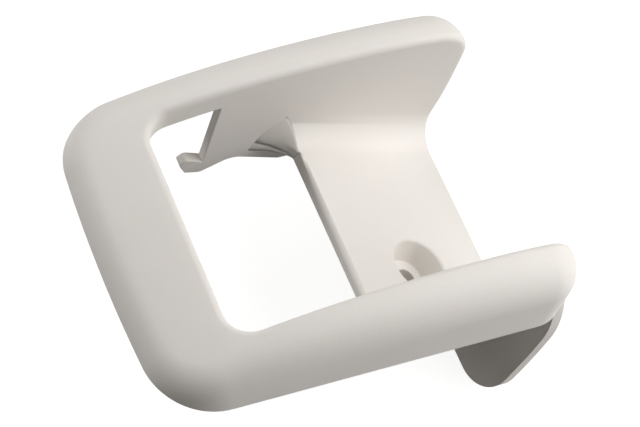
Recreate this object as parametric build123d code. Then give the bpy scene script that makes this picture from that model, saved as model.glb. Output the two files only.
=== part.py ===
from build123d import *
import os

# Injection moulded mounting housing: one thin shell, in millimetres.
# Modelling frame: X runs along the arms from the window's closed end to the open end,
# Y runs across the channel, Z points out of the front face. The finished shell is then
# moved so that the bottom middle of its bounding box stands on the origin.

# --- front frame ---
wall = 2.2                  # general wall thickness
channel_half = 24.5         # half of the clear width between the two arms
arm_width = 9.7             # front face of one arm, channel edge to outer skirt
arm_length = 71.9           # window's closed end to the open end's face
crossbar_width = 16.6       # front face of the crossbar at its middle
crossbar_bow = 2.0          # how far the crossbar's outer edge bows out
outer_corner = 13.6         # plan radius of the closed corners
end_corner = 8.2            # plan radius of the arm tips
window_corner = 5.5         # plan radius of the window's closed corners
front_roll = 7.6            # radius from the front face into the skirt
rim_roll = 1.4              # radius of the channel's edge, all the way round
crown_along = 13.4          # fall of the front face at the crossbar's outer edge
crown_end = 2.4             # fall of the front face at the arm tips
crown_across = 0.8          # fall of the front face at the skirts
skirt_closed = 16.8         # skirt depth at the crossbar
skirt_open = 18.0           # skirt depth at the open end
window_lip = 5.9            # depth of the lip round the window, below the front face

# --- sloping plate between the arms ---
plate_start = 35.0          # where the plate's free edge lies along the arms
plate_depth = 24.0          # depth of the plate's face at that edge
plate_slope = 20.9          # degrees down towards the open end
plate_fillet = 6.0          # inner radius, plate to arm wall
plate_corner = 4.0          # plan radius from the free edge into the arm walls

# --- end sheet behind the open end ---
sheet_half = 33.0           # half width below the skirt
sheet_top = 6.5             # depth from which its shoulders curve down and out
sheet_depth = 54.2          # depth of its foot below the front face
sheet_radius = 118.0        # radius of its curve
sheet_start = 16.0          # depth where the curve starts
sheet_shoulder = 22.0       # radius of its shoulders, below the arm tips
sheet_corner = 9.0          # radius of the foot's corners

# --- snap hooks on the arm walls ---
hook_start = 16.9           # front edge of the arm wall above the hook
hook_reach = 5.3            # how far the nose stands out from that edge
hook_depth = 33.0           # depth of the hook's foot
notch_rise = 3.8            # height of the notch's bottom above that foot
nose_rise = 5.7             # height of the nose's crest above it
nose_crest = 3.9            # how far that crest stands out
waist_start = 23.5          # where the hook's foot has risen to the wall's foot
waist_rise = 3.4            # height of the wall's foot there above the hook's
rib_depth = 34.6            # depth of the wall's foot under the plate
nose_round = 0.9            # radius of the nose
hook_round = 1.6            # radius of the hook's foot
waist_round = 5.0           # radius from the hook's foot into the wall's foot

# --- screw recess in the plate ---
screw_along = 18.7          # distance from the plate's free edge, along its slope
screw_across = -9.2         # distance from the middle of the channel
screw_bore = 2.15           # radius of the clearance hole
recess_depth = 5.0          # plate face to recess floor
recess_floor = 4.4          # radius of the recess floor
recess_mouth = 6.2          # radius of the recess at the plate face
recess_roll = 0.9           # softened rim of the recess

frame_half = channel_half + arm_width
flat_half = frame_half - end_corner
reach = arm_length + crossbar_width
FAR = 200.0

plate_frame = Plane(
    origin=(plate_start, 0, -plate_depth),
    x_dir=Vector(1, 0, 0).rotate(Axis.Y, plate_slope),
    z_dir=Vector(0, 0, 1).rotate(Axis.Y, plate_slope),
)


def plan_outline(inset):
    """Plan of the whole front frame, shrunk by inset, without its window."""
    x_left = -crossbar_width + inset
    x_side = x_left + crossbar_bow
    x_right = arm_length - inset
    half = frame_half - inset
    with BuildSketch() as sketch:
        with BuildLine():
            ThreePointArc((x_side, -half), (x_left, 0), (x_side, half))
            Polyline((x_side, half), (x_right, half), (x_right, -half), (x_side, -half))
        make_face()
        closed = sketch.vertices().group_by(Axis.X)[0]
        fillet(closed, outer_corner - inset)
        tips = sketch.vertices().group_by(Axis.X)[-1]
        fillet(tips, end_corner - inset)
    return sketch.sketch


def crown_height(x, y, drop):
    """Front face height: it falls towards the crossbar, the arm tips and the skirts."""
    along = (arm_length - x) / reach
    tip = max(x, 0) / arm_length
    across = y / frame_half
    return -drop - crown_along * along**3 - crown_end * tip**8 - crown_across * across**4


def under_crown(drop):
    """Everything under the crowned front face lowered by a distance."""
    margin = 3.0
    steps = 16
    xs = [-crossbar_width - margin + i * (reach + 2 * margin) / steps for i in range(steps + 1)]
    ys = [(frame_half + margin) * (2 * i / steps - 1) for i in range(steps + 1)]
    grid = [[Vector(x, y, crown_height(x, y, drop)) for y in ys] for x in xs]
    crown = Face.make_surface_from_array_of_points(grid, tol=0.001)
    return Solid.extrude(crown, Vector(0, 0, -FAR))


def crowned_block(inset):
    """Solid under the crowned and rolled front face, shrunk by inset."""
    prism = extrude(Pos(0, 0, -FAR / 2) * plan_outline(inset), FAR)
    block = prism & under_crown(inset)
    top = block.faces().sort_by(Axis.Z)[-1]
    return fillet(top.edges(), front_roll - inset)


def side_prism(points):
    """Prism across the whole part from a closed X-Z outline."""
    face = make_face(Plane.XZ * Polyline(*points, close=True))
    return extrude(face, FAR, both=True)


def sheet_side(inset):
    """Everything on the channel's side of the end sheet's curved face."""
    x_face = arm_length - inset
    radius = sheet_radius - inset
    centre_x = x_face - radius
    foot = sheet_start + radius / 2
    x_foot = centre_x + (radius**2 - (radius / 2) ** 2) ** 0.5
    middle = sheet_start + radius / 4
    x_middle = centre_x + (radius**2 - (radius / 4) ** 2) ** 0.5
    arc = ThreePointArc((x_face, -sheet_start), (x_middle, -middle), (x_foot, -foot))
    rest = Polyline((x_foot, -foot), (-FAR, -foot), (-FAR, FAR), (x_face, FAR),
                    (x_face, -sheet_start))
    return extrude(make_face(Plane.XZ * (arc + rest)), FAR, both=True)


def above_skirt_edge():
    """Everything in front of the skirt's sloping lower edge."""
    fall = (skirt_open - skirt_closed) / reach
    left, right = -crossbar_width - FAR, arm_length + FAR
    return side_prism([
        (left, FAR), (right, FAR),
        (right, -skirt_open - fall * FAR), (left, -skirt_closed + fall * FAR),
    ])


def sheet_blank():
    """Prism along the part with the end sheet's outline: wide shoulders, rounded foot."""
    outline = Pos(0, -(sheet_top + sheet_depth) / 2) * (
        Rectangle(2 * sheet_half, sheet_depth - sheet_top)
    )
    outline = fillet(outline.vertices().group_by(Axis.Y)[0], sheet_corner)
    outline = fillet(outline.vertices().group_by(Axis.Y)[-1], sheet_shoulder)
    return extrude(Plane.YZ * outline, FAR)


def keep_zone():
    """What stays of the deep shell: skirts down to their edge, channel and end wall."""
    behind = Pos(arm_length, 0, 0) * Box(4 * end_corner, 2 * flat_half, 2 * FAR)
    return above_skirt_edge() + (sheet_blank() & behind) + channel_prism(wall)


def sheet_wings():
    """Both sides of the end sheet, flat across where the arm tips above are round."""
    wings = sheet_blank() - Box(2 * FAR, 2 * flat_half, 2 * FAR)
    return (wings & sheet_side(0)) - sheet_side(wall)


def trough(grow):
    """Channel between the arms: upright sides and a floor along the plate's slope."""
    half = channel_half + grow
    corner = plate_fillet + grow
    across = Plane(plate_frame.origin, x_dir=(0, 1, 0), z_dir=plate_frame.x_dir)
    section = across * Pos(0, (FAR - grow) / 2) * Rectangle(2 * half, FAR + grow)
    solid = extrude(section, FAR, both=True)
    floor = solid.faces().sort_by(Axis(plate_frame.origin, plate_frame.z_dir))[0]
    bottom = floor.edges().filter_by(Axis((0, 0, 0), plate_frame.x_dir))
    return fillet(bottom, corner)


def channel_prism(grow):
    """Window and open channel, grown by a margin: down to the trough, and right through
    before the arm walls."""
    length = arm_length + FAR
    plan = Pos(length / 2 - grow, 0) * RectangleRounded(
        length, 2 * (channel_half + grow), window_corner + grow
    )
    through = Pos(hook_start - FAR, 0, 0) * Box(2 * FAR, FAR, 2 * FAR)
    return extrude(plan, FAR, both=True) & (trough(grow) + through)


def wall_foot_end():
    """Where the foot of the arm wall runs out into the underside of the plate."""
    slope = plate_frame.x_dir
    underside = plate_depth + wall / slope.X
    return plate_start - (rib_depth - underside) * slope.X / slope.Z


def hook_profile(top):
    """X-Z outline of the hooked end of an arm wall, up to a given height."""
    nose = hook_start - hook_reach
    crest = hook_start - nose_crest
    foot = -hook_depth
    end = wall_foot_end()
    points = [
        (hook_start, top), (hook_start, foot + notch_rise), (crest, foot + nose_rise),
        (nose, foot + nose_rise - (hook_reach - nose_crest)),
        (nose + hook_reach / 3, foot + wall / 2),
        (hook_start, foot), (waist_start, foot + waist_rise),
        (plate_start, -rib_depth), (end, -rib_depth), (end, top),
    ]
    sketch = make_face(Polyline(*points, close=True))

    def near(index):
        x, y = points[index]
        return [v for v in sketch.vertices() if abs(v.X - x) + abs(v.Y - y) < 0.01]

    for index, radius in ((2, nose_round), (3, nose_round), (4, nose_round),
                          (5, hook_round), (6, waist_round)):
        sketch = fillet(near(index), radius)
    return Plane.XZ * sketch


def arm_walls():
    """Both arm walls below the lip up to the plate, each ending in its snap hook."""
    profile = hook_profile(crown_height(hook_start, channel_half, window_lip - wall))
    return [
        Pos(0, side * (channel_half + wall / 2), 0) * extrude(profile, wall / 2, both=True)
        for side in (-1, 1)
    ]


def hook_relief():
    """Space below the window's lip and round the hooks at the arm walls' closed ends."""
    left, end = -2 * wall, wall_foot_end()
    span = side_prism([(left, 0), (end, 0), (end, -FAR), (left, -FAR)])
    below_lip = span & under_crown(window_lip)
    kept = extrude(hook_profile(FAR), FAR, both=True)
    return (below_lip - kept) & Box(FAR, 2 * (frame_half - 2 * wall), 2 * FAR)


def plate_cut():
    """Opening before the plate's free edge, with its rounded corners."""
    plan = Pos(-plate_start / 2, 0) * RectangleRounded(
        plate_start, 2 * channel_half, plate_corner
    )
    return extrude(plate_frame * plan, channel_half, both=True) & Pos(FAR, 0, 0) * Box(
        2 * FAR, 2 * FAR, 2 * FAR
    )


def recess_axis(height):
    """Place on the recess axis at a height over the plate's face."""
    return plate_frame * Pos(screw_along, screw_across, height)


def cup(floor_radius, mouth_radius, depth):
    """Conical plug from the plate's face down to a depth."""
    return recess_axis(-depth / 2) * Cone(floor_radius, mouth_radius, depth)


def is_rim(edge):
    """True for an edge where the channel breaks through the outer skin."""
    middle, run = edge.position_at(0.5), edge.tangent_at(0.5)
    inside = abs(middle.Y) < channel_half + 0.01 and middle.X > -0.01
    front = middle.Z > crown_height(middle.X, middle.Y, wall) and abs(run.Z) < 0.7
    end = middle.X > arm_length - end_corner and middle.Z > -sheet_depth + sheet_corner
    along = abs(run.dot(plate_frame.x_dir)) > 0.999
    return inside and (front or (end and not along))


def rounded_body():
    """Solid body under the outer skin, with the channel cut and its rim rounded."""
    body = (crowned_block(0) & sheet_side(0)) - channel_prism(0)
    return fillet([e for e in body.edges() if is_rim(e)], rim_roll)


def housing_shell():
    """The whole moulding: the rounded body, hollowed from behind and trimmed."""
    cavity = (crowned_block(wall) & sheet_side(wall)) - channel_prism(wall)
    shell = (rounded_body() - cavity) & keep_zone()
    shell += sheet_wings()
    shell -= hook_relief()
    shell += arm_walls()
    shell -= plate_cut()
    shell += cup(recess_floor + wall, recess_mouth + wall, recess_depth + wall)
    shell -= cup(recess_floor, recess_mouth, recess_depth)
    mouth = shell.edges().filter_by(GeomType.CIRCLE).sort_by_distance(recess_axis(0).position)
    shell = fillet(mouth[0], recess_roll)
    return shell - recess_axis(-recess_depth) * Cylinder(screw_bore, 4 * wall)


shell = housing_shell()
extent = shell.bounding_box()
housing = Pos(-extent.center().X, 0, -extent.min.Z) * shell
housing.label = "housing"
os.makedirs("parts", exist_ok=True)
export_step(housing, "parts/housing.step")
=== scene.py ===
import logging
import math
from dataclasses import dataclass, field
from enum import Enum

import bpy
import numpy as np
from mathutils import Matrix, Vector


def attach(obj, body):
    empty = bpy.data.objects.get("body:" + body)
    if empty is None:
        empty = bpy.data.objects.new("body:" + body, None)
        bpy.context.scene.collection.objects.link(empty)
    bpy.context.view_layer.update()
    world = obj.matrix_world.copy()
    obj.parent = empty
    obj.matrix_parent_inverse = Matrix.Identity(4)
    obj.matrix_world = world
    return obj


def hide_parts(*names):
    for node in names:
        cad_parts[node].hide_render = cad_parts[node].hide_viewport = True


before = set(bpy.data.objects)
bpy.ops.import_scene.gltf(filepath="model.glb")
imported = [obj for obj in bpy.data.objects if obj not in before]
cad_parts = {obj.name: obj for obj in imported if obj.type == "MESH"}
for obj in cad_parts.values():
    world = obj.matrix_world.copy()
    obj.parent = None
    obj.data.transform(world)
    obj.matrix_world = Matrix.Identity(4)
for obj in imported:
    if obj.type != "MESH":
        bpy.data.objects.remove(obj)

# Looks of a moulded plastic mounting housing, in metres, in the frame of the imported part.
# The housing is one piece: a crowned U-shaped front frame, a sloping plate with a screw
# recess, two snap hooks and a curved end sheet. A smooth skin stands for its CAD solid, and
# two small webs carry the plate's fillets down to the feet of the arm walls.

log = logging.getLogger("housing_scene")


# ---------------------------------------------------------------- colours and nodes

def linear(red: float, green: float, blue: float) -> tuple[float, float, float, float]:
    """Turns a colour as read off a swatch into the linear values that shaders take.

    Args:
        red: Red from 0 to 1, as displayed.
        green: Green from 0 to 1, as displayed.
        blue: Blue from 0 to 1, as displayed.

    Returns:
        The linear colour with an alpha of 1.
    """
    shown = np.array([red, green, blue])
    toe, toe_slope, lift, power = 0.04045, 12.92, 0.055, 2.4
    dark = shown / toe_slope
    bright = ((shown + lift) / (1 + lift)) ** power
    value = np.where(shown <= toe, dark, bright)
    return (*value.tolist(), 1.0)


class NodeBench:
    """Adds and joins the nodes of one tree, so that a recipe reads from top to bottom."""

    def __init__(self, tree: bpy.types.NodeTree) -> None:
        """Keeps the tree to work on.

        Args:
            tree: Node tree of a material, world or group.
        """
        self.tree = tree

    def add(self, kind: str, **settings: object) -> bpy.types.Node:
        """Adds a node.

        Args:
            kind: Node type, such as ShaderNodeTexNoise.
            **settings: Properties of the node to set.

        Returns:
            The new node.
        """
        node = self.tree.nodes.new(kind)
        for name, value in settings.items():
            setattr(node, name, value)
        return node

    def feed(self, socket: bpy.types.NodeSocket, value: object) -> None:
        """Feeds a socket from another node's socket, or sets it to a constant.

        Args:
            socket: Input to feed.
            value: Output socket of a node, or a constant.
        """
        if isinstance(value, bpy.types.NodeSocket):
            self.tree.links.new(value, socket)
        else:
            socket.default_value = value

    def math(self, operation: str, first: object, second: object) -> bpy.types.NodeSocket:
        """Works out one step of arithmetic.

        Args:
            operation: Name of the step, such as MULTIPLY.
            first: Left value, a socket or a number.
            second: Right value, a socket or a number.

        Returns:
            The socket with the result.
        """
        node = self.add("ShaderNodeMath", operation=operation)
        self.feed(node.inputs[0], first)
        self.feed(node.inputs[1], second)
        return node.outputs[0]

    def noise(self, place: object, scale: object, detail: float,
              rough: float) -> bpy.types.NodeSocket:
        """Reads a noise at a place.

        Args:
            place: Socket with the coordinates.
            scale: Number of cells per metre, a socket or a number.
            detail: Number of finer layers.
            rough: Strength of each finer layer.

        Returns:
            The socket with the noise, from 0 to 1.
        """
        node = self.add("ShaderNodeTexNoise")
        self.feed(node.inputs["Vector"], place)
        self.feed(node.inputs["Scale"], scale)
        self.feed(node.inputs["Detail"], detail)
        self.feed(node.inputs["Roughness"], rough)
        return node.outputs["Fac"]


def new_group(name: str, inputs: dict[str, tuple[str, object]],
              outputs: dict[str, str]) -> tuple[bpy.types.NodeTree, NodeBench, dict, dict]:
    """Makes an empty shader node group with named sockets.

    Args:
        name: Name of the group.
        inputs: Socket type and starting value for each input's name.
        outputs: Socket type for each output's name.

    Returns:
        The group, a bench to work on it, its input sockets and its output sockets by name.
    """
    tree = bpy.data.node_groups.new(name, "ShaderNodeTree")
    for label, (kind, value) in inputs.items():
        socket = tree.interface.new_socket(label, in_out="INPUT", socket_type=kind)
        socket.default_value = value
    for label, kind in outputs.items():
        tree.interface.new_socket(label, in_out="OUTPUT", socket_type=kind)
    bench = NodeBench(tree)
    source = bench.add("NodeGroupInput").outputs
    sink = bench.add("NodeGroupOutput").inputs
    return tree, bench, {n: source[n] for n in inputs}, {n: sink[n] for n in outputs}


# ---------------------------------------------------------------- shared effects

def mould_grain_group() -> bpy.types.NodeTree:
    """Height of a spark-eroded mould surface.

    Fine round pits, a fine noise and a weaker layer of wider noise lie over each other.
    Their weighted sum is the height, and the fine noise alone is the mask.

    Returns:
        The node group, with inputs Scale and Width and outputs Height and Pits.
    """
    pit_share, wide_share = 0.6, 0.22
    tree, bench, given, made = new_group(
        "Mould_grain",
        {"Scale": ("NodeSocketFloat", 2400.0), "Width": ("NodeSocketFloat", 0.35)},
        {"Height": "NodeSocketFloat", "Pits": "NodeSocketFloat"},
    )
    place = bench.add("ShaderNodeTexCoord").outputs["Object"]
    cells = bench.add("ShaderNodeTexVoronoi", feature="SMOOTH_F1")
    bench.feed(cells.inputs["Vector"], place)
    bench.feed(cells.inputs["Scale"], given["Scale"])
    fine = bench.noise(place, given["Scale"], 3.0, 0.6)
    wide_scale = bench.math("MULTIPLY", given["Scale"], wide_share)
    wide = bench.noise(place, wide_scale, 2.0, 0.5)
    pits = bench.math("MULTIPLY", cells.outputs["Distance"], pit_share)
    small = bench.math("ADD", pits, fine)
    large = bench.math("MULTIPLY", wide, given["Width"])
    bench.feed(made["Height"], bench.math("ADD", small, large))
    bench.feed(made["Pits"], fine)
    return tree


def tone_drift_group() -> bpy.types.NodeTree:
    """Slow drift of tone over a surface, as pigment and cooling leave it.

    The drift is a wide noise with a weaker band noise along the flow of the plastic,
    kept between a light and a deep tone of the colour.

    Returns:
        The node group, with inputs Light, Deep, Scale and Amount and output Color.
    """
    wide_share, band_share, band_stretch, band_scale = 0.6, 0.4, 0.25, 3.0
    tree, bench, given, made = new_group(
        "Tone_drift",
        {
            "Light": ("NodeSocketColor", (1, 1, 1, 1)),
            "Deep": ("NodeSocketColor", (0, 0, 0, 1)),
            "Scale": ("NodeSocketFloat", 30.0),
            "Amount": ("NodeSocketFloat", 1.0),
        },
        {"Color": "NodeSocketColor"},
    )
    place = bench.add("ShaderNodeTexCoord").outputs["Object"]
    wide = bench.noise(place, given["Scale"], 2.0, 0.5)
    flow = bench.add("ShaderNodeMapping")
    bench.feed(flow.inputs["Vector"], place)
    bench.feed(flow.inputs["Scale"], (band_stretch, 1.0, 1.0))
    finer = bench.math("MULTIPLY", given["Scale"], band_scale)
    bands = bench.noise(flow.outputs["Vector"], finer, 3.0, 0.6)
    weak = bench.math("MULTIPLY", bands, band_share)
    strong = bench.math("MULTIPLY", wide, wide_share)
    mixed = bench.math("MULTIPLY", bench.math("ADD", strong, weak), given["Amount"])
    mix = bench.add("ShaderNodeMix", data_type="RGBA", clamp_factor=True)
    bench.feed(mix.inputs["Factor"], mixed)
    bench.feed(mix.inputs["A"], given["Light"])
    bench.feed(mix.inputs["B"], given["Deep"])
    bench.feed(made["Color"], mix.outputs["Result"])
    return tree


@dataclass(frozen=True)
class SharedEffects:
    """Node groups that the finishes use."""

    grain: bpy.types.NodeTree
    drift: bpy.types.NodeTree


# ---------------------------------------------------------------- finishes

@dataclass(frozen=True)
class MouldedPlastic:
    """Opaque matt plastic, coloured in the mass, as it leaves the mould."""

    name: str
    light: tuple[float, float, float, float]
    deep: tuple[float, float, float, float]
    grain_cells: float = 2600.0
    grain_depth: float = 0.000012
    roughness: float = 0.5
    roughness_spread: float = 0.14
    specular: float = 0.42
    drift_scale: float = 34.0
    skin_depth: float = 0.0004
    skin_weight: float = 0.12
    skin_tint: tuple[float, float, float] = (1.0, 0.7, 0.5)
    corner_radius: float = 0.00035
    corner_samples: int = 6

    def build(self, effects: SharedEffects) -> bpy.types.Material:
        """Makes the material.

        The tone drifts between the light and the deep colour, the grain sets roughness
        and bump, and the normals turn gradually over every sharp edge.

        Args:
            effects: Node groups shared by the finishes.

        Returns:
            The finished material.
        """
        material = bpy.data.materials.new(self.name)
        material.use_nodes = True
        bench = NodeBench(material.node_tree)
        shader = material.node_tree.nodes["Principled BSDF"]

        tone = bench.add("ShaderNodeGroup", node_tree=effects.drift)
        bench.feed(tone.inputs["Light"], self.light)
        bench.feed(tone.inputs["Deep"], self.deep)
        bench.feed(tone.inputs["Scale"], self.drift_scale)
        bench.feed(shader.inputs["Base Color"], tone.outputs["Color"])

        grain = bench.add("ShaderNodeGroup", node_tree=effects.grain)
        bench.feed(grain.inputs["Scale"], self.grain_cells)
        spread = bench.math("MULTIPLY", grain.outputs["Pits"], self.roughness_spread)
        bench.feed(shader.inputs["Roughness"], bench.math("ADD", spread, self.roughness))
        bump = bench.add("ShaderNodeBump")
        bench.feed(bump.inputs["Height"], grain.outputs["Height"])
        bench.feed(bump.inputs["Distance"], self.grain_depth)
        bench.feed(bump.inputs["Strength"], 1.0)
        corner = bench.add("ShaderNodeBevel", samples=self.corner_samples)
        bench.feed(corner.inputs["Radius"], self.corner_radius)
        bench.feed(bump.inputs["Normal"], corner.outputs["Normal"])
        bench.feed(shader.inputs["Normal"], bump.outputs["Normal"])

        shader.inputs["Specular IOR Level"].default_value = self.specular
        shader.inputs["Subsurface Weight"].default_value = self.skin_weight
        shader.inputs["Subsurface Scale"].default_value = self.skin_depth
        shader.inputs["Subsurface Radius"].default_value = self.skin_tint
        return material


def sight_rays(bench: NodeBench) -> bpy.types.NodeSocket:
    """Is 1 for rays that show the backdrop directly, by reflection or through glass.

    Args:
        bench: Bench of the tree to work in.

    Returns:
        The socket with 0 or 1.
    """
    path = bench.add("ShaderNodeLightPath").outputs
    seen = bench.math("MAXIMUM", path["Is Camera Ray"], path["Is Glossy Ray"])
    return bench.math("MAXIMUM", seen, path["Is Transmission Ray"])


@dataclass(frozen=True)
class StudioPaper:
    """Pale floor that shows as white to the eye and still takes a soft shadow."""

    name: str = "studio_paper"
    color: tuple[float, float, float, float] = (0.3, 0.29, 0.28, 1.0)
    glow: float = 0.88

    def build(self) -> bpy.types.Material:
        """Makes the material: plain diffuse paper, with a glow that only sight rays see.

        Returns:
            The finished material.
        """
        material = bpy.data.materials.new(self.name)
        material.use_nodes = True
        tree = material.node_tree
        tree.nodes.clear()
        bench = NodeBench(tree)
        paper = bench.add("ShaderNodeBsdfDiffuse")
        bench.feed(paper.inputs["Color"], self.color)
        glow = bench.add("ShaderNodeEmission")
        bench.feed(glow.inputs["Strength"], bench.math("MULTIPLY", sight_rays(bench), self.glow))
        both = bench.add("ShaderNodeAddShader")
        bench.feed(both.inputs[0], paper.outputs[0])
        bench.feed(both.inputs[1], glow.outputs[0])
        bench.feed(bench.add("ShaderNodeOutputMaterial").inputs["Surface"], both.outputs[0])
        return material


# ---------------------------------------------------------------- meshes

def mesh_object(name: str, points: np.ndarray, faces: np.ndarray) -> bpy.types.Object:
    """Makes a mesh object at the origin from whole arrays.

    Args:
        name: Name of the object and of its mesh.
        points: Vertex places, one row each, in metres.
        faces: Vertex numbers of each face, one row each.

    Returns:
        The linked object.
    """
    mesh = bpy.data.meshes.new(name)
    sides = faces.shape[1]
    mesh.vertices.add(len(points))
    mesh.vertices.foreach_set("co", points.astype(np.float32).ravel())
    mesh.loops.add(faces.size)
    mesh.loops.foreach_set("vertex_index", faces.astype(np.int32).ravel())
    mesh.polygons.add(len(faces))
    mesh.polygons.foreach_set("loop_start", np.arange(0, faces.size, sides, dtype=np.int32))
    mesh.update(calc_edges=True)
    mesh.validate()
    made = bpy.data.objects.new(name, mesh)
    bpy.context.scene.collection.objects.link(made)
    return made


def grid_faces(rows: int, columns: int) -> np.ndarray:
    """Lists the four corners of each cell of a grid of points.

    Cell (i, j) joins the points (i, j), (i+1, j), (i+1, j+1) and (i, j+1).

    Args:
        rows: Number of points along the first parameter.
        columns: Number of points along the second parameter.

    Returns:
        One row of four vertex numbers for each cell.
    """
    first, second = np.meshgrid(np.arange(rows - 1), np.arange(columns - 1), indexing="ij")
    corner = (first * columns + second).ravel()
    return np.stack([corner, corner + columns, corner + columns + 1, corner + 1], axis=1)


class Side(Enum):
    """Sides of the housing, as the sign of their places along y."""

    LEFT = 1.0
    RIGHT = -1.0


@dataclass(frozen=True)
class FreeEdge:
    """Straight free edge of the sloping plate, where its face ends at the window."""

    x: float = 0.007265
    z: float = 0.0302
    slope: float = math.radians(20.9)

    def along(self) -> np.ndarray:
        """Direction back from the edge, up the plate's slope and over the window."""
        return np.array([-math.cos(self.slope), 0.0, math.sin(self.slope)])

    def upright(self) -> np.ndarray:
        """Direction square to the plate's face."""
        return np.array([math.sin(self.slope), 0.0, math.cos(self.slope)])


@dataclass
class MouldedHousing:
    """The one-piece housing, shown as a joined and smoothly shaded skin of its solid."""

    node: str = "housing"
    name: str = "housing_skin"
    weld: float = 0.000002
    crease: float = 32.0
    edge: FreeEdge = FreeEdge()
    edge_half: float = 0.0206
    near: float = 0.00003
    roll: float = 0.0011
    roll_segments: int = 6
    plastic: MouldedPlastic = field(default_factory=lambda: MouldedPlastic(
        name="moulded_plastic",
        light=linear(0.9, 0.884, 0.864),
        deep=linear(0.878, 0.858, 0.834),
    ))

    def skin(self) -> bpy.types.Object:
        """Joins the solid's loose triangles into one closed skin.

        Points that fall into the same cell of a fine grid, with the weld as its step,
        become one point, and triangles left with fewer than three points are dropped.

        Returns:
            The skin object.
        """
        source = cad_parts[self.node].data
        points = np.empty(len(source.vertices) * 3, np.float32)
        source.vertices.foreach_get("co", points)
        points = points.reshape(-1, 3)
        faces = np.empty(len(source.loops), np.int32)
        source.loops.foreach_get("vertex_index", faces)
        cells = np.round(points / self.weld).astype(np.int64)
        _, first, joined = np.unique(cells, axis=0, return_index=True, return_inverse=True)
        faces = joined.ravel()[faces].reshape(-1, 3)
        whole = ((faces[:, 0] != faces[:, 1]) & (faces[:, 1] != faces[:, 2])
                 & (faces[:, 2] != faces[:, 0]))
        return mesh_object(self.name, points[first], faces[whole])

    def shade(self, skin: bpy.types.Object) -> None:
        """Shades the skin smoothly, with creases where its faces meet at an angle.

        Args:
            skin: The joined skin.
        """
        skin.data.shade_smooth()
        skin.data.set_sharp_from_angle(angle=math.radians(self.crease))

    def roll_free_edge(self, skin: bpy.types.Object) -> None:
        """Rounds the plate's free edge.

        The edges whose two ends lie on its line, within a small distance, are bevelled.

        Args:
            skin: The joined skin.
        """
        mesh = skin.data
        points = np.empty(len(mesh.vertices) * 3, np.float32)
        mesh.vertices.foreach_get("co", points)
        points = points.reshape(-1, 3)
        away = np.hypot(points[:, 0] - self.edge.x, points[:, 2] - self.edge.z)
        on_line = (away < self.near) & (np.abs(points[:, 1]) < self.edge_half)
        ends = np.empty(len(mesh.edges) * 2, np.int32)
        mesh.edges.foreach_get("vertices", ends)
        chosen = on_line[ends.reshape(-1, 2)].all(axis=1)
        weight = mesh.attributes.new("bevel_weight_edge", "FLOAT", "EDGE")
        weight.data.foreach_set("value", chosen.astype(np.float32))
        roll = skin.modifiers.new("free_edge_roll", "BEVEL")
        roll.limit_method = "WEIGHT"
        roll.width = self.roll
        roll.segments = self.roll_segments
        roll.harden_normals = True
        roll.use_clamp_overlap = False
        log.info("%d edges rolled", int(chosen.sum()))

    def build(self, effects: SharedEffects) -> bpy.types.Object:
        """Makes the skin and dresses it and the solid it stands for.

        Args:
            effects: Node groups shared by the finishes.

        Returns:
            The skin object.
        """
        material = self.plastic.build(effects)
        skin = self.skin()
        self.shade(skin)
        self.roll_free_edge(skin)
        skin.data.materials.append(material)
        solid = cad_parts[self.node].data
        solid.materials.clear()
        solid.materials.append(material)
        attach(skin, "root")
        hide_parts(self.node)
        return skin


def slab_faces(rows: int, columns: int) -> np.ndarray:
    """Lists the faces of a closed slab between two grids of points, one after the other.

    The first grid's cells are kept, the second's are turned round, and a ring of quads
    joins the two grids all the way round their border.

    Args:
        rows: Number of points of each grid along the first parameter.
        columns: Number of points along the second parameter.

    Returns:
        One row of four vertex numbers for each face.
    """
    count = rows * columns
    index = np.arange(count).reshape(rows, columns)
    border = np.concatenate([index[:-1, 0], index[-1, :-1], index[:0:-1, -1], index[0, :0:-1]])
    after = np.roll(border, -1)
    ring = np.stack([after, border, border + count, after + count], axis=1)
    top = grid_faces(rows, columns)
    return np.concatenate([top, top[:, ::-1] + count, ring])


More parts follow.
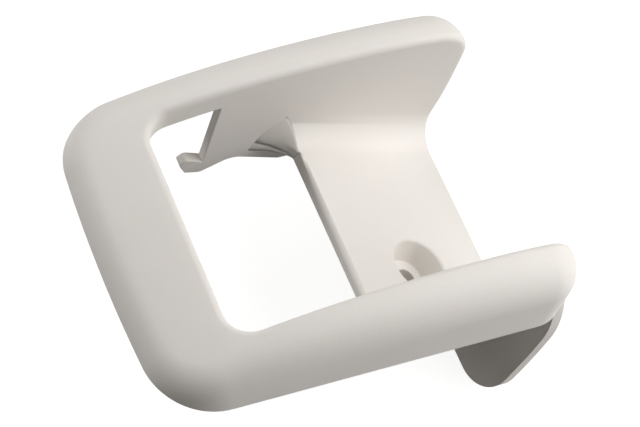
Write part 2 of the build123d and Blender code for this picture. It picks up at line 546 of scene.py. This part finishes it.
@dataclass
class CornerWeb:
    """Curved web from the end of the plate's fillet down to one arm wall's foot."""

    side: Side
    plastic: bpy.types.Material
    edge: FreeEdge = FreeEdge()
    middle: float = 0.0185
    fillet: float = 0.006
    cut_from: float = 0.0205
    cut_radius: float = 0.004
    sink: float = 0.00015
    sink_power: int = 8
    reach: float = 0.22
    rim_pace: float = 0.62
    last_turn: float = 88.0
    thickness: float = 0.002
    crease: float = 18.0
    across: int = 49
    along: int = 33
    rim: tuple[tuple[float, float, float], ...] = (
        (0.006665, 0.0208, 0.0293),
        (0.004265, 0.0240, 0.0274),
        (-0.003335, 0.0252, 0.0272),
    )

    def cut_edge(self, turn: np.ndarray) -> np.ndarray:
        """Works out where the plate's fillet ends, for each angle round the fillet.

        The angle turns from the wall to the plate's face, with the fillet's radius round
        a line that lies one radius above that face. Towards the wall, the plate's rounded
        plan corner sets the end back along the slope by its radius less the height of a
        circle at that distance from the corner's start. Close to the wall the points move
        a little into it, by a high power of the cosine of the angle.

        Args:
            turn: Angles round the fillet, 0 at the wall and a quarter turn at the face.

        Returns:
            One point for each angle.
        """
        sunk = self.sink * np.cos(turn) ** self.sink_power
        across = self.middle + self.fillet * np.cos(turn) + sunk
        height = self.fillet * (1 - np.sin(turn))
        past = np.clip((across - self.cut_from) / self.cut_radius, 0, 1)
        back = self.cut_radius * (1 - np.sqrt(1 - past ** 2))
        points = back[:, None] * self.edge.along() + height[:, None] * self.edge.upright()
        return points + np.stack(
            [np.full_like(across, self.edge.x), across, np.full_like(across, self.edge.z)], axis=-1)

    def rim_curve(self, share: np.ndarray) -> np.ndarray:
        """Works out the web's free rim as a cubic Bezier curve from the plate to the wall.

        It starts where the plate's free edge meets the fillet, and the rim's own points
        pull it along the wall and end it inside the wall.

        Args:
            share: Places along the curve, 0 at the plate and 1 at the wall.

        Returns:
            One point for each place.
        """
        first = np.array([self.edge.x, self.middle, self.edge.z])
        second, third, last = (np.array(point) for point in self.rim)
        u = share[:, None]
        return ((1 - u) ** 3 * first + 3 * u * (1 - u) ** 2 * second
                + 3 * u ** 2 * (1 - u) * third + u ** 3 * last)

    def surface(self) -> tuple[np.ndarray, np.ndarray]:
        """Works out the web's upper face and, one thickness below it, its lower face.

        Each line along the web is a quadratic Bezier curve from the fillet's end to the
        rim. Its bend point lies midway between them, moved back along the plate's slope
        by a share of the distance between them. The place on the rim is a power of what
        is left of the quarter turn, so that the lines spread towards the wall's foot. The
        lower face lies square to the plate's face under the upper one.

        Returns:
            The points and the faces.
        """
        turn = np.linspace(0, math.radians(self.last_turn), self.across)
        start = self.cut_edge(turn)
        end = self.rim_curve((1 - turn / (math.pi / 2)) ** self.rim_pace)
        gap = np.linalg.norm(end - start, axis=1, keepdims=True)
        bend = (start + end) / 2 + self.edge.along() * gap * self.reach
        v = np.linspace(0, 1, self.along)[None, :, None]
        points = ((1 - v) ** 2 * start[:, None] + 2 * v * (1 - v) * bend[:, None]
                  + v ** 2 * end[:, None])
        points = np.stack([points, points - self.edge.upright() * self.thickness])
        points[..., 1] *= self.side.value
        faces = slab_faces(self.across, self.along)
        if self.side is Side.LEFT:
            faces = faces[:, ::-1]
        return points.reshape(-1, 3), faces

    def build(self) -> bpy.types.Object:
        """Makes the web in the housing's plastic.

        Returns:
            The web object.
        """
        points, faces = self.surface()
        web = mesh_object(f"corner_web_{self.side.name.lower()}", points, faces)
        web.data.shade_smooth()
        web.data.set_sharp_from_angle(angle=math.radians(self.crease))
        web.data.materials.append(self.plastic)
        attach(web, "root")
        return web


# ---------------------------------------------------------------- studio

@dataclass
class StudioFloor:
    """Square floor under the part, rising gently at its far rim."""

    name: str = "studio_floor"
    half_side: float = 3.0
    rise: float = 0.6
    rise_power: int = 6
    gap: float = 0.0001
    steps: int = 61
    paper: StudioPaper = field(default_factory=StudioPaper)

    def surface(self) -> tuple[np.ndarray, np.ndarray]:
        """Works out the floor on a grid of x and y.

        The height at (x, y) is the rise times a high power of the distance from the
        middle over the half side, less a small gap, so the floor is level under the part.

        Returns:
            The points and the faces.
        """
        reach = np.linspace(-self.half_side, self.half_side, self.steps)
        x, y = np.meshgrid(reach, reach, indexing="ij")
        height = self.rise * (np.hypot(x, y) / self.half_side) ** self.rise_power - self.gap
        points = np.stack([x, y, height], axis=-1).reshape(-1, 3)
        return points, grid_faces(self.steps, self.steps)

    def build(self) -> bpy.types.Object:
        """Makes the floor and gives it the studio paper.

        Returns:
            The floor object.
        """
        points, faces = self.surface()
        floor = mesh_object(self.name, points, faces)
        floor.data.shade_smooth()
        floor.data.materials.append(self.paper.build())
        return floor


@dataclass
class SoftLamp:
    """Square area lamp that looks at the part."""

    name: str
    direction: tuple[float, float, float]
    distance: float
    side: float
    level: float
    color: tuple[float, float, float] = (1.0, 1.0, 1.0)

    def build(self, target: Vector) -> bpy.types.Object:
        """Makes the lamp.

        A lamp of power P at distance d lights a facing surface as brightly as an even
        white world of strength P / (pi d)^2, so the power follows from the level.

        Args:
            target: Point that the lamp looks at.

        Returns:
            The lamp object.
        """
        data = bpy.data.lights.new(self.name, "AREA")
        data.shape = "SQUARE"
        data.size = self.side
        data.energy = self.level * (math.pi * self.distance) ** 2
        data.color = self.color
        lamp = bpy.data.objects.new(self.name, data)
        bpy.context.scene.collection.objects.link(lamp)
        back = Vector(self.direction).normalized()
        lamp.location = target + back * self.distance
        lamp.rotation_mode = "QUATERNION"
        lamp.rotation_quaternion = back.to_track_quat("Z", "Y")
        return lamp


@dataclass
class StudioWorld:
    """Even surrounding light that shows as white."""

    name: str = "studio_world"
    level: float = 0.03
    tint: tuple[float, float, float, float] = (1.0, 0.965, 0.93, 1.0)

    def build(self) -> None:
        """Makes the world: white to sight rays, and a dimmer even light to all others."""
        world = bpy.data.worlds.new(self.name)
        world.use_nodes = True
        world.node_tree.nodes.clear()
        bench = NodeBench(world.node_tree)
        seen = sight_rays(bench)
        soft = bench.add("ShaderNodeBackground")
        bench.feed(soft.inputs["Color"], self.tint)
        bench.feed(soft.inputs["Strength"], self.level)
        white = bench.add("ShaderNodeBackground")
        bench.feed(white.inputs["Color"], (1.0, 1.0, 1.0, 1.0))
        bench.feed(white.inputs["Strength"], 1.0)
        mix = bench.add("ShaderNodeMixShader")
        bench.feed(mix.inputs[0], seen)
        bench.feed(mix.inputs[1], soft.outputs[0])
        bench.feed(mix.inputs[2], white.outputs[0])
        bench.feed(bench.add("ShaderNodeOutputWorld").inputs["Surface"], mix.outputs[0])
        bpy.context.scene.world = world


@dataclass
class ViewCamera:
    """Camera that looks down on the front of the part from its closed end."""

    name: str = "view_camera"
    target: tuple[float, float, float] = (0.00541, 0.00370, 0.03135)
    distance: float = 0.44511
    heading: float = 46.76
    pitch: float = -55.82
    roll: float = -24.19
    lens: float = 125.05
    clip: tuple[float, float] = (0.01, 50.0)

    def build(self) -> bpy.types.Object:
        """Makes the camera and gives it to the scene.

        Heading turns from +X towards +Y, pitch is below the horizon when negative, and
        roll tips the upright of the view towards its right.

        Returns:
            The camera object.
        """
        heading, pitch, roll = map(math.radians, (self.heading, self.pitch, self.roll))
        ahead = Vector((math.cos(pitch) * math.cos(heading),
                        math.cos(pitch) * math.sin(heading), math.sin(pitch)))
        level = ahead.cross(Vector((0, 0, 1))).normalized()
        upright = level.cross(ahead)
        up = upright * math.cos(roll) + level * math.sin(roll)
        right = ahead.cross(up)
        data = bpy.data.cameras.new(self.name)
        data.lens = self.lens
        data.clip_start, data.clip_end = self.clip
        camera = bpy.data.objects.new(self.name, data)
        bpy.context.scene.collection.objects.link(camera)
        turn = Matrix((right, up, -ahead)).transposed()
        place = Vector(self.target) - ahead * self.distance
        camera.matrix_world = Matrix.Translation(place) @ turn.to_4x4()
        bpy.context.scene.camera = camera
        return camera


@dataclass
class Studio:
    """Floor, light and camera."""

    floor: StudioFloor = field(default_factory=StudioFloor)
    world: StudioWorld = field(default_factory=StudioWorld)
    camera: ViewCamera = field(default_factory=ViewCamera)
    lamps: tuple[SoftLamp, ...] = (
        SoftLamp("end_lamp", direction=(0.8, 0.0, 0.6), distance=0.45, side=0.3, level=0.5),
        SoftLamp("top_lamp", direction=(0.45, -0.25, 0.86), distance=0.45, side=0.3, level=0.33),
        SoftLamp("back_lamp", direction=(-0.66, 0.64, 0.61), distance=0.45, side=0.3, level=0.6),
        SoftLamp("front_lamp", direction=(0.6, -0.7, 0.4), distance=0.45, side=0.3, level=0.4),
    )

    def build(self) -> None:
        """Makes everything round the part."""
        self.floor.build()
        log.info("studio floor built")
        self.world.build()
        log.info("surrounding light built")
        target = Vector(self.camera.target)
        for lamp in self.lamps:
            lamp.build(target)
            log.info("%s built", lamp.name)
        self.camera.build()
        log.info("camera built")


def main() -> None:
    """Builds the part's look and the studio round it."""
    logging.basicConfig(level=logging.INFO, format="%(name)s: %(message)s")
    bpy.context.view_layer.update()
    effects = SharedEffects(grain=mould_grain_group(), drift=tone_drift_group())
    log.info("shared effects built")
    housing = MouldedHousing().build(effects)
    log.info("%s built with %d triangles", housing.name, len(housing.data.polygons))
    for side in Side:
        web = CornerWeb(side, housing.data.materials[0]).build()
        log.info("%s built", web.name)
    Studio().build()
    bpy.context.scene.view_settings.view_transform = "Standard"


if __name__ == "__main__":
    main()
